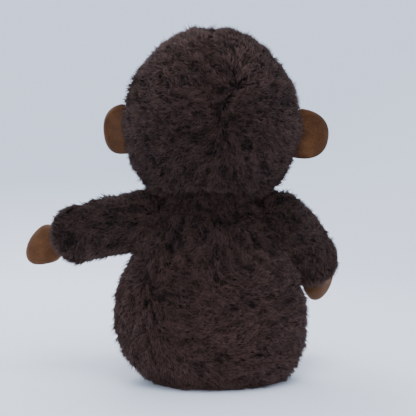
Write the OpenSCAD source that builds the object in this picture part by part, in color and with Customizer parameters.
// Stuffed ape, sitting. +Z is up, the face looks along -Y and the toy's own left is +X.
// The origin is the centre of the flat seat. All sizes are in millimetres, and the fur
// panels are drawn to the depth of pressed pile, so loose pile stands a little prouder.

/* [Head] */
// Width of the head across the pressed pile
head_w = 169; // [160:1:176]
// Depth of the head from brow to nape
head_d = 152; // [140:1:160]
// Height of the head
head_h = 171; // [164:1:176]
// Height of the middle of the head above the seat
head_z = 262; // [260:1:266]
// How far the head leans over to the toy's right, in degrees
head_lean = 1.5; // [0:0.5:4]

/* [Face] */
// Width of the muzzle
muzzle_w = 70; // [60:1:76]
// Height of the muzzle
muzzle_h = 50; // [44:1:54]
// How far the muzzle stands out
muzzle_out = 17; // [12:1:20]
// Diameter of each eye
eye_d = 13; // [10:0.5:14]
// Distance between the eyes
eye_gap = 40; // [36:1:44]

/* [Ears] */
// Height of each ear
ear_h = 50; // [44:1:52]
// How far each ear stands out
ear_out = 31; // [24:1:33]

/* [Body] */
// Width of the body at its widest
body_w = 183; // [176:1:190]
// Depth of the back behind the seat centre
back_d = 55; // [50:1:60]
// Depth of the belly in front of the seat centre
belly_d = 63; // [58:1:66]
// Height at which the body is widest
waist_z = 70; // [66:1:74]

/* [Arms] */
// Length of an arm from the shoulder to the cuff
arm_len = 96; // [90:1:100]
// Diameter of an arm
arm_d = 43; // [40:1:44]
// Length of a hand beyond the cuff
hand_len = 46; // [36:1:48]
// Width of a hand across the palm
hand_w = 45; // [38:1:46]
// How far the left arm drops below level at the shoulder, in degrees
left_drop = 9; // [5:1:16]
// How far the left arm's wrist sags below a straight line
left_sag = 6; // [0:1:12]
// How far the left arm reaches forward, in degrees
left_reach = 18; // [10:1:24]
// How far the right arm drops below level at the shoulder, in degrees
right_drop = 36; // [30:1:40]
// How far the right arm's wrist sags below a straight line
right_sag = 16; // [16:1:24]
// How far the right arm reaches forward, in degrees
right_reach = 40; // [32:1:42]
// How far the right hand bends forward at the wrist, in degrees
right_bend = 12; // [6:1:26]

/* [Legs] */
// Length of a leg from the hip to the ankle
leg_len = 62; // [56:1:66]
// Diameter of a leg
leg_d = 49; // [46:1:50]
// Height of a foot
foot_h = 62; // [56:1:62]
// Width of a foot
foot_w = 50; // [44:1:52]
// How far each leg turns outward, in degrees
leg_splay = 12; // [8:1:16]

/* [Hidden] */

fur = 4;            // thickness of a fur panel with its pile pressed
suede = 2;          // thickness of a suede panel
ease = 0.5;         // gap between a cover and what fills it
loose = 3.5;        // the same gap in the head and body, whose filling is a coarser solid
into_fur = 0.8;     // how far a hand or foot lies inside the fur of its sleeve

neck = [0, 0, 184]; // the point that the head turns about
neck_r = 40;        // radius of the round neck
neck_room = 4.8;    // room left round the neck
head_mid = [0, -3, head_z];
fur_brown = "#4a3c38";
suede_tan = "#8a5a3a";
fibre_white = "#e8e6e0";
thread_dark = "#2a1c18";

/////////////////////////////////////////////// grids

// Every point of a grid in one list
function points_of(g) = [for (row = g) for (p = row) p];

function turned(t, flip) = flip ? [t[0], t[2], t[1]] : t;
function real(t) = t[0] != t[1] && t[1] != t[2] && t[0] != t[2];

// A closed cover between an outer and an inner grid of points. loop joins the last column to the
// first, each row listed in poles is a single point, and flip turns the faces over so that they
// look outward.
module cover(outer, inner, loop = false, poles = [], flip = false) {
    n = len(outer);
    m = len(outer[0]);
    function at(s, i, j) = s * n * m + i * m + (len(search(i, poles)) > 0 ? 0 : j % m);
    last = loop ? m - 1 : m - 2;
    skins = [for (i = [0:n - 2]) for (j = [0:last])
        let (a = at(0, i, j), b = at(0, i, j + 1), c = at(0, i + 1, j + 1), d = at(0, i + 1, j),
            e = at(1, i, j), f = at(1, i, j + 1), g = at(1, i + 1, j + 1), h = at(1, i + 1, j))
        each [[a, b, c], [a, c, d], [e, h, g], [e, g, f]]];
    ends = [for (j = [0:last])
        let (a = at(0, 0, j), b = at(0, 0, j + 1), e = at(1, 0, j), f = at(1, 0, j + 1),
            c = at(0, n - 1, j + 1), d = at(0, n - 1, j), g = at(1, n - 1, j + 1), h = at(1, n - 1, j))
        each [
            if (len(search(0, poles)) == 0) each [[b, a, e], [b, e, f]],
            if (len(search(n - 1, poles)) == 0) each [[d, c, g], [d, g, h]]
        ]];
    sides = loop ? [] : [for (i = [0:n - 2])
        let (a = at(0, i, 0), d = at(0, i + 1, 0), e = at(1, i, 0), h = at(1, i + 1, 0),
            b = at(0, i, m - 1), c = at(0, i + 1, m - 1), f = at(1, i, m - 1), g = at(1, i + 1, m - 1))
        each [[a, d, h], [a, h, e], [c, b, f], [c, f, g]]];
    polyhedron(
        concat(points_of(outer), points_of(inner)),
        [for (t = concat(skins, ends, sides)) if (real(t)) turned(t, flip)]
    );
}

// A closed solid whose surface is one looped grid. Its ends are poles or flat caps.
module filling(g, poles = [], flip = false) {
    n = len(g);
    m = len(g[0]);
    function at(i, j) = i * m + (len(search(i, poles)) > 0 ? 0 : j % m);
    skins = [for (i = [0:n - 2]) for (j = [0:m - 1])
        let (a = at(i, j), b = at(i, j + 1), c = at(i + 1, j + 1), d = at(i + 1, j))
        each [[a, b, c], [a, c, d]]];
    caps = [for (j = [1:m - 2]) each [
        if (len(search(0, poles)) == 0) [at(0, 0), at(0, j + 1), at(0, j)],
        if (len(search(n - 1, poles)) == 0) [at(n - 1, 0), at(n - 1, j), at(n - 1, j + 1)]
    ]];
    polyhedron(points_of(g), [for (t = concat(skins, caps)) if (real(t)) turned(t, flip)]);
}

// Even steps from a to b
function steps(a, b, n) = [for (i = [0:n]) a + (b - a) * i / n];

// Distance along a ray from o towards d, to where it first meets the ball of radius r about c
function first_hit(o, d, c, r) =
    let (m = o - c, b = m * d, q = b * b - m * m + r * r)
    q <= 0 ? 1e6 : (-b - sqrt(q) > 0 ? -b - sqrt(q) : 1e6);

/////////////////////////////////////////////// head

// Half sizes of the head, and how much deeper it is below its middle, at the cheeks
head_half = [head_w, head_d, head_h] / 2;
cheek = 11;

// A point of the head, depth below its surface. from_face is the angle from straight ahead, and
// around goes from the toy's left up over the crown. The underside is hollowed for the neck.
function head_point(from_face, around, depth) =
    let (
        d = [sin(from_face) * cos(around), -cos(from_face), sin(from_face) * sin(around)],
        h = head_half + [0, 0, d.z < 0 ? cheek : 0] - [depth, depth, depth],
        r = 1 / norm([d.x / h.x, d.y / h.y, d.z / h.z])
    )
    head_mid + min(r, first_hit(head_mid, d, neck, neck_r + neck_room + depth)) * d;

// How far the bare face reaches from straight ahead: wide at the cheeks, dipping at the brow
function face_edge(around) =
    33 + 3 * cos(2 * around) - 4 * sin(around) - 7 * exp(-pow((around - 90) / 22, 2));

side_seam = 92;     // where the front and back of the head meet, from straight ahead

module head_piece(from, to, depth_0, depth_1, rows, around_0, around_1, columns, poles = []) {
    grids = [for (depth = [depth_0, depth_1])
        [for (i = [0:rows]) [for (around = steps(around_0, around_1, columns))
            let (a = is_num(from) ? from : face_edge(around), b = is_num(to) ? to : face_edge(around))
            head_point(a + (b - a) * i / rows, around, depth)]]];
    cover(grids[0], grids[1], loop = abs(around_1 - around_0) == 360, poles = poles);
}

module on_head() {
    translate(neck) rotate([0, -head_lean, 0]) translate(-neck) children();
}

module head_back(side) {
    color(fur_brown) on_head()
        head_piece(side_seam, 180, 0, fur, 9, side > 0 ? -90 : 90, side > 0 ? 90 : 270, 18, [9]);
}

module head_front(side) {
    color(fur_brown) on_head()
        head_piece("face", side_seam, 0, fur, 6, side > 0 ? -90 : 90, side > 0 ? 90 : 270, 18);
}

eye_z = head_z + 14;
eye_turn = 14;      // how far each eye looks outward, in degrees
eye_dip = 10;       // how far it looks down
shank_r = 1.6;
shank_len = 11;
washer_r = 7.5;
washer_back = 5.2;  // from the face to the back of the washer

// Distance in front of head_mid of the face's surface at x and z
function face_y(x, z) =
    let (h = head_half.z + (z < head_z ? cheek : 0))
    head_half.y * sqrt(1 - pow(x / head_half.x, 2) - pow((z - head_z) / h, 2));

module face_patch() {
    color(suede_tan) on_head() difference() {
        rows = 5;
        columns = 36;
        grids = [for (depth = [fur - suede, fur]) [for (i = [0:rows]) [for (j = [0:columns - 1])
            let (around = 360 * j / columns)
            head_point((face_edge(around) - 0.3) * i / rows, around, depth)]]];
        cover(grids[0], grids[1], loop = true, poles = [0]);
        for (side = [-1, 1]) eye_axis(side) cylinder(r = shank_r + 0.3, h = 40, center = true, $fn = 32);
    }
}

// Places something on the line that an eye's shank follows, with its base on the face
module eye_axis(side) {
    x = side * eye_gap / 2;
    translate([x, head_mid.y - face_y(x, eye_z) + fur - suede, eye_z])
        rotate([90, 0, side * eye_turn]) rotate([-eye_dip, 0, 0]) children();
}

module head_stuffing() {
    columns = 24;
    rows = 12;
    color(fibre_white) on_head() difference() {
        filling(
            [for (i = [0:rows]) [for (j = [0:columns - 1])
                head_point(180 * i / rows, 360 * j / columns, fur + loose)]],
            poles = [0, rows]
        );
        for (side = [-1, 1]) eye_axis(side) cylinder(r = washer_r + 1.5, h = 30, center = true, $fn = 48);
    }
}

// A domed eye with the ridged shank that its washer locks on
module eye(side) {
    dome = eye_d / 2;
    color("black") on_head() eye_axis(side) {
        translate([0, 0, 0.6]) difference() {
            sphere(r = dome, $fn = 48);
            translate([-dome, -dome, -2 * dome]) cube(2 * dome);
        }
        translate([0, 0, 1 - shank_len]) cylinder(r = shank_r, h = shank_len, $fn = 32);
    }
}

module eye_washer(side) {
    color("white") on_head() eye_axis(side) translate([0, 0, -washer_back]) difference() {
        cylinder(r = washer_r, h = 1.4, $fn = 48);
        cylinder(r = shank_r + 0.05, h = 4, center = true, $fn = 32);
    }
}

muzzle_z = head_z - 22;     // height of the middle of the muzzle
muzzle_off = 0.6;           // gap between the face patch and the muzzle

// Height of the muzzle's dome, of height out at its tip, at a share of the way to its rim
function dome(share, out) = out * pow(1 - pow(share, 2.4), 0.55);

// A point of the muzzle: share goes from its tip to its rim, where the dome comes down to the face
function muzzle_point(share, around, out) =
    let (
        x = muzzle_w / 2 * share * cos(around),
        z = muzzle_z + muzzle_h / 2 * share * sin(around)
    )
    [x, head_mid.y - face_y(x, z) + fur - suede - muzzle_off - dome(share, out), z];

function muzzle_grid(out, reach) =
    [for (i = [0:6]) [for (j = [0:23]) muzzle_point(reach * sin(15 * i), 15 * j, out)]];

module muzzle_cover() {
    color(suede_tan) on_head()
        cover(muzzle_grid(muzzle_out, 0.96), muzzle_grid(muzzle_out - suede, 0.9), loop = true, poles = [0]);
}

module muzzle_stuffing() {
    grid_out = muzzle_grid(muzzle_out - suede - ease, 0.84);
    color(fibre_white) on_head() cover(grid_out, muzzle_grid(0, 0.84), loop = true, poles = [0]);
}

// A padded stroke of thread on the muzzle, through the places that at(t) gives for t from 0 to 1,
// each [x, z, half width]
module stroke(at, lift, count) {
    function on_muzzle(x, z, up) =
        let (share = min(norm([2 * x / muzzle_w, 2 * (z - muzzle_z) / muzzle_h]), 1))
        [x, head_mid.y - face_y(x, z) + fur - suede - muzzle_off - up - dome(share, muzzle_out), z];
    function place(t, k, up) =
        let (p = at(t), q = at(t + 0.01), run = [q.x - p.x, q.y - p.y] / norm([q.x - p.x, q.y - p.y]))
        on_muzzle(p.x - run.y * p.z * k, p.y + run.x * p.z * k, up);
    sides = steps(-1, 1, 4);
    cover(
        [for (t = steps(0, 1, count)) [for (k = sides) place(t, k, 0.25 + lift * sqrt(1.02 - k * k))]],
        [for (t = steps(0, 1, count)) [for (k = sides) place(t, k, 0.2)]]
    );
}

function nostril(side, t) = [side * (6 + 6 * t), muzzle_z + 12 + 2.4 * t, 0.5 + 2.2 * sin(20 + 140 * t)];

module nostril_stitches() {
    color(thread_dark) on_head() for (side = [-1, 1]) stroke(function(t) nostril(side, t), 1.2, 6);
}

mouth_w = 42;
mouth_dip = 6;

module mouth_stitches() {
    color(thread_dark) on_head()
        stroke(function(t) [mouth_w * (t - 0.5), muzzle_z - 6 - mouth_dip * sin(180 * t), 0.8], 0.9, 18);
}

/////////////////////////////////////////////// ears

ear_drop = 13;      // how far the middle of an ear is below the middle of the head
ear_slant = 8;      // how far its sewn edge slants in below
ear_root = head_w / 2 + 3;
left_fold = 34;     // how far each ear is folded forward, in degrees
right_fold = 4;

// Half thickness of an ear, which swells towards its rim and closes there
function ear_half(share) = 1.6 + 3.6 * sqrt(1.001 - pow(share, 2.6)) * (0.35 + 0.65 * share);

// A point of an ear: share from the sewn edge to the rim, way from its bottom to its top, and
// side 1 for the back and -1 for the front. The rim curls forward.
function ear_point(share, way, side, depth) =
    [
        (ear_out - depth) * share * cos(way),
        side * (ear_half(share) - depth) - 4 * share * share,
        (ear_h / 2 - depth) * share * sin(way)
    ];

function ear_grid(side, depth) =
    [for (i = [0:6]) [for (way = steps(-90, 90, 12)) ear_point(sin(15 * i), way, side, depth)]];

module ear_place(side) {
    on_head() mirror([side > 0 ? 0 : 1, 0, 0])
        translate(head_mid + [ear_root, 3, -ear_drop]) rotate([0, ear_slant, 0])
            rotate([0, 0, side > 0 ? -left_fold : -right_fold]) children();
}

module ear_cover(side, face) {
    color(suede_tan) ear_place(side)
        cover(ear_grid(face, 0), ear_grid(face, face > 0 ? 1.2 : 1.25), poles = [0], flip = face > 0);
}

module ear_stuffing(side) {
    color(fibre_white) ear_place(side)
        cover(ear_grid(1, 1.5), ear_grid(-1, 1.5), poles = [0], flip = true);
}

/////////////////////////////////////////////// neck and body

module neck_sleeve() {
    color(fur_brown) translate(neck) difference() {
        sphere(r = neck_r, $fn = 64);
        sphere(r = neck_r - fur, $fn = 64);
        for (end = [0, 1]) mirror([0, 0, end]) translate([0, 0, 25]) cylinder(r = neck_r, h = 20, $fn = 64);
    }
}

module neck_stuffing() {
    color(fibre_white) translate(neck) sphere(r = neck_r - fur - ease, $fn = 64);
}

body_top = 166;             // where the body is open for the neck
seat_rise = 78;             // sets how squarely the body meets the seat
top_half = [45, 42, 43];    // half width, back and belly depth at the top
body_half = [body_w / 2, back_d, belly_d];
shoulder = [66, -2, 160];
shoulder_room = 2.2;        // room left round the ball in each shoulder
hip = [45, -62, 29];
hip_room = 3.6;             // room left round the ball in each hip
arm_r = arm_d / 2;
leg_r = leg_d / 2;

// Half width, back depth and belly depth at height z: a square-shouldered base below the widest
// place, and a smooth draw-in to the neck above it
function body_half_at(z) =
    z < waist_z
        ? body_half * pow(1 - pow((waist_z - z) / seat_rise, 3), 1 / 3)
        : top_half + (body_half - top_half) * pow(cos(min(90, 90 * (z - waist_z) / (neck.z - waist_z))), 2);

// A point of the body at height z, round from the toy's left over the back. Each shoulder and hip
// is hollowed to let a limb's round end turn.
function body_point(z, round, depth) =
    let (
        h = body_half_at(z) - [depth, depth, depth],
        d = [cos(round), sin(round), 0],
        r = 1 / norm([d.x / h[0], d.y / (d.y > 0 ? h[1] : h[2])]),
        o = [0, 0, z],
        hits = [for (s = [-1, 1]) each [
            first_hit(o, d, [s * shoulder.x, shoulder.y, shoulder.z], arm_r + shoulder_room + depth),
            first_hit(o, d, [s * hip.x, hip.y, hip.z], leg_r + hip_room + depth)
        ]]
    )
    o + min(r, min(hits)) * d;

body_levels = concat(
    [for (i = [0:7]) waist_z * (1 - cos(90 * i / 7))],
    steps(waist_z + 12, body_top, 8)
);

module body_cover(round_0, round_1) {
    color(fur_brown) cover(
        [for (z = body_levels) [for (a = steps(round_0, round_1, 12)) body_point(z, a, 0)]],
        [for (z = body_levels) [for (a = steps(round_0, round_1, 12)) body_point(z, a, fur)]],
        flip = true
    );
}

function seat_ring(depth) = [for (j = [0:47]) let (p = body_point(0, 360 * j / 48, depth)) [p.x, p.y]];

module seat_panel() {
    color(fur_brown) linear_extrude(3) polygon(seat_ring(fur + 0.4));
}

pouch_top = 33;
fill_top = body_top - 5;    // where the filling starts to dish in round the neck

// The pouch of pellets: height and gap to the cover, from its bottom up
pouch_rows = [[3.5, 4.5], [12, 3], [22, 3], [pouch_top, 9]];

module pellet_pouch() {
    color("tan") filling([for (row = pouch_rows) [for (j = [0:23])
        body_point(row[0], 15 * j, fur + row[1])]], flip = true);
}

module body_stuffing() {
    neck_cut = neck_r + neck_room;
    open = acos((neck.z - fill_top) / neck_cut);
    walls = [for (z = steps(pouch_top + ease, fill_top, 11)) [for (j = [0:31])
        body_point(z, 360 * j / 32, fur + loose)]];
    dish = [for (a = open * [0.78, 0.54, 0.27, 0]) [for (j = [0:31])
        neck + neck_cut * [sin(a) * cos(360 * j / 32), sin(a) * sin(360 * j / 32), -cos(a)]]];
    color(fibre_white) filling(concat(walls, dish), poles = [len(walls) + 3], flip = true);
}

stitch_from = 112;
stitch_step = 6;

// Ladder stitches that close the back below the nape
module back_closing_stitches() {
    color(thread_dark) for (z = [stitch_from:stitch_step:stitch_from + 7 * stitch_step])
        translate([0, body_point(z, 90, 0).y + 0.65, z])
            rotate([0, 90, 0]) cylinder(r = 0.5, h = 5, center = true, $fn = 24);
}

/////////////////////////////////////////////// arms

cuff_back = 4;                      // how far the sleeve stops short of the wrist's centre
hand_r = arm_r - fur - into_fur;    // radius of the round end of a hand, inside the cuff

// Places an arm whose long axis is X, its back is +Y and its upper side is +Z
module arm_place(side) {
    mirror([side > 0 ? 0 : 1, 0, 0]) translate(shoulder)
        rotate([0, side > 0 ? left_drop : right_drop, 0])
            rotate([0, 0, side > 0 ? -left_reach : -right_reach]) children();
}

// Bends a straight limb's grid down along a parabola, by sag at the limb's end
function bent(g, sag, long) = [for (row = g) [for (p = row)
    let (t = max(0, p.x) / long, slope = atan(2 * sag * t / long))
    [p.x + p.z * sin(slope), p.y, p.z * cos(slope) - sag * t * t]]];

// A point of a sleeve of length long and radius r: a half ball about the root, then a tube
function sleeve_point(way, round, r, long) =
    let (
        x = way < 0 ? r * sin(90 * way) : long * way,
        rho = way < 0 ? r * cos(90 * way) : r
    )
    [x, rho * cos(round), rho * sin(round)];

function sleeve_grid(r, long, round_0, round_1, columns) =
    [for (way = concat(steps(-1, 0, 5), steps(0.2, 1, 4)))
        [for (round = steps(round_0, round_1, columns)) sleeve_point(way, round, r, long)]];

module sleeve(r, long, round_0, round_1, sag = 0) {
    cover(
        bent(sleeve_grid(r, long, round_0, round_1, 12), sag, arm_len),
        bent(sleeve_grid(r - fur, long, round_0, round_1, 12), sag, arm_len),
        poles = [0],
        flip = true
    );
}

function arm_sag(side) = side > 0 ? left_sag : right_sag;

module arm_cover(side, face) {
    a = face > 0 ? -90 : 90;
    color(fur_brown) arm_place(side) sleeve(arm_r, arm_len - cuff_back, a, a + 180, arm_sag(side));
}

// Wadding of radius r in a limb, from the ball at its root to the round end of its hand or foot.
// Both of its ends are hollowed to the radius hollow.
module limb_stuffing(r, hollow, long, sag = 0) {
    rim = asin(r / hollow);
    root = [for (a = steps(0, rim, 4)) [for (j = [0:19])
        hollow * [cos(a), sin(a) * cos(18 * j), sin(a) * sin(18 * j)]]];
    middle = [for (x = steps(long * 0.3, long * 0.7, 2)) [for (j = [0:19])
        [x, r * cos(18 * j), r * sin(18 * j)]]];
    end = [for (a = steps(rim, 0, 4)) [for (j = [0:19])
        [long, 0, 0] + hollow * [-cos(a), sin(a) * cos(18 * j), sin(a) * sin(18 * j)]]];
    filling(bent(concat(root, middle, end), sag, long), poles = [0, 12], flip = true);
}

module arm_stuffing(side) {
    r = arm_r - fur - ease;
    color(fibre_white) arm_place(side) limb_stuffing(r, r + 0.7, arm_len, arm_sag(side));
}

module shoulder_stuffing(side) {
    color(fibre_white) arm_place(side) sphere(r = arm_r - fur - 1, $fn = 48);
}

module hand_place(side) {
    arm_place(side) translate([arm_len, 0, -arm_sag(side)])
        rotate([0, atan(2 * arm_sag(side) / arm_len), side > 0 ? 0 : -right_bend]) children();
}

// A point of a mitten hand: way from the wrist's inner end to the fingertips. Beyond the cuff it
// widens to the palm, and it tapers to a rounded tip that lies low.
function hand_point(way, round, depth) =
    let (
        r = hand_r - depth,
        x = way < 0 ? r * sin(90 * way) : (hand_len - depth) * sin(90 * way),
        widen = (hand_w / 2 - hand_r) * pow(sin(90 * min(1, max(0, x - 3) / 13)), 2),
        tip = way < 0 ? 1 : pow(1 - pow(x / (hand_len - depth), 2.6), 0.5),
        rho = way < 0 ? r * cos(90 * way) : r
    )
    [
        x,
        (rho - 2.5 * min(1, max(0, x) / 12)) * tip * cos(round),
        (rho + widen) * tip * sin(round) - 5 * pow(max(0, x) / hand_len, 2)
    ];

function hand_grid(depth, round_0, round_1, columns) =
    [for (way = concat(steps(-1, 0, 4), steps(0.125, 1, 7)))
        [for (round = steps(round_0, round_1, columns)) hand_point(way, round, depth)]];

module hand_cover(side, face) {
    a = face > 0 ? -90 : 90;
    color(suede_tan) hand_place(side)
        cover(hand_grid(0, a, a + 180, 8), hand_grid(suede, a, a + 180, 8), poles = [0, 12], flip = true);
}

module hand_stuffing(side) {
    g = [for (row = hand_grid(suede + ease, 0, 360, 16)) [for (j = [0:15]) row[j]]];
    color(fibre_white) hand_place(side) filling(g, poles = [0, 12], flip = true);
}

/////////////////////////////////////////////// legs

ankle_back = 3;     // how far the leg's cover stops short of the ankle's centre
foot_r = leg_r - fur - into_fur;
foot_len = 26;      // from the ankle to the front of the sole
sole_edge = 0.6;    // share of a foot's grid at which it starts to round over
sole_from = 0.7;    // share at which the sole is sewn on

module leg_place(side) {
    mirror([side > 0 ? 0 : 1, 0, 0]) translate(hip) rotate([0, 0, leg_splay - 90]) children();
}

module leg_cover(side, face) {
    color(fur_brown) leg_place(side)
        sleeve(leg_r, leg_len - ankle_back, face > 0 ? 0 : 180, face > 0 ? 180 : 360);
}

module leg_stuffing(side) {
    r = leg_r - fur - ease;
    color(fibre_white) leg_place(side) limb_stuffing(r, r + 0.7, leg_len);
}

module hip_stuffing(side) {
    color(fibre_white) leg_place(side) sphere(r = leg_r - fur - 1, $fn = 48);
}

// A point of a foot: a round ankle inside the leg, which widens beyond it to an upright oval and
// rounds over to the sole
function foot_point(way, round, depth) =
    let (
        r = foot_r - depth,
        swell = foot_len * 0.6,
        over = 90 * max(0, (way - sole_edge) / (1 - sole_edge)),
        x = way < 0 ? r * sin(90 * way)
            : way < sole_edge ? swell * way / sole_edge
            : swell + (foot_len - swell - depth) * sin(over),
        widen = pow(sin(90 * min(1, max(0, x - 2) / 12)), 2),
        trim = way < 0 ? cos(90 * way) : pow(cos(over), 0.45)
    )
    [
        x,
        (r + (foot_w / 2 - foot_r) * widen) * trim * cos(round),
        (r + (foot_h / 2 - foot_r) * widen) * trim * sin(round) + 3 * widen
    ];

function foot_grid(depth, from, to, count) =
    [for (way = steps(from, to, count)) [for (j = [0:19]) foot_point(way, 18 * j, depth)]];

module foot_place(side) {
    leg_place(side) translate([leg_len, 0, 0]) children();
}

module foot_upper(side) {
    color(suede_tan) foot_place(side) cover(
        concat(foot_grid(0, -1, -0.25, 3), foot_grid(0, 0, sole_from, 7)),
        concat(foot_grid(suede, -1, -0.25, 3), foot_grid(suede, 0, sole_from, 7)),
        loop = true, poles = [0], flip = true
    );
}

sole_start = sole_from + 0.005;

module foot_sole(side) {
    color(suede_tan) foot_place(side) cover(
        foot_grid(0, sole_start, 1, 3), foot_grid(suede, sole_start, 1, 3),
        loop = true, poles = [3], flip = true
    );
}

module foot_stuffing(side) {
    color(fibre_white) foot_place(side) filling(
        concat(foot_grid(suede + ease, -1, -0.25, 3), foot_grid(suede + ease, 0, 1, 10)),
        poles = [0, 14], flip = true
    );
}

/////////////////////////////////////////////// the toy

head_back(1);  // head_back_left
head_back(-1);  // head_back_right
head_front(1);  // head_front_left
head_front(-1);  // head_front_right
face_patch();
head_stuffing();
muzzle_cover();
muzzle_stuffing();
eye(1);  // eye_left
eye(-1);  // eye_right
eye_washer(1);  // eye_washer_left
eye_washer(-1);  // eye_washer_right
nostril_stitches();
mouth_stitches();
ear_cover(1, 1);  // left_ear_back
ear_cover(1, -1);  // left_ear_front
ear_stuffing(1);  // left_ear_stuffing
ear_cover(-1, 1);  // right_ear_back
ear_cover(-1, -1);  // right_ear_front
ear_stuffing(-1);  // right_ear_stuffing
neck_sleeve();
neck_stuffing();
body_cover(0, 90);  // back_left
body_cover(90, 180);  // back_right
body_cover(-90, 0);  // belly_left
body_cover(180, 270);  // belly_right
seat_panel();
body_stuffing();
pellet_pouch();
back_closing_stitches();
arm_cover(1, 1);  // left_arm_back
arm_cover(1, -1);  // left_arm_front
arm_stuffing(1);  // left_arm_stuffing
shoulder_stuffing(1);  // left_shoulder_stuffing
hand_cover(1, 1);  // left_hand_back
hand_cover(1, -1);  // left_hand_palm
hand_stuffing(1);  // left_hand_stuffing
arm_cover(-1, 1);  // right_arm_back
arm_cover(-1, -1);  // right_arm_front
arm_stuffing(-1);  // right_arm_stuffing
shoulder_stuffing(-1);  // right_shoulder_stuffing
hand_cover(-1, 1);  // right_hand_back
hand_cover(-1, -1);  // right_hand_palm
hand_stuffing(-1);  // right_hand_stuffing
leg_cover(1, 1);  // left_leg_upper
leg_cover(1, -1);  // left_leg_under
leg_stuffing(1);  // left_leg_stuffing
hip_stuffing(1);  // left_hip_stuffing
foot_upper(1);  // left_foot_upper
foot_sole(1);  // left_foot_sole
foot_stuffing(1);  // left_foot_stuffing
leg_cover(-1, 1);  // right_leg_upper
leg_cover(-1, -1);  // right_leg_under
leg_stuffing(-1);  // right_leg_stuffing
hip_stuffing(-1);  // right_hip_stuffing
foot_upper(-1);  // right_foot_upper
foot_sole(-1);  // right_foot_sole
foot_stuffing(-1);  // right_foot_stuffing
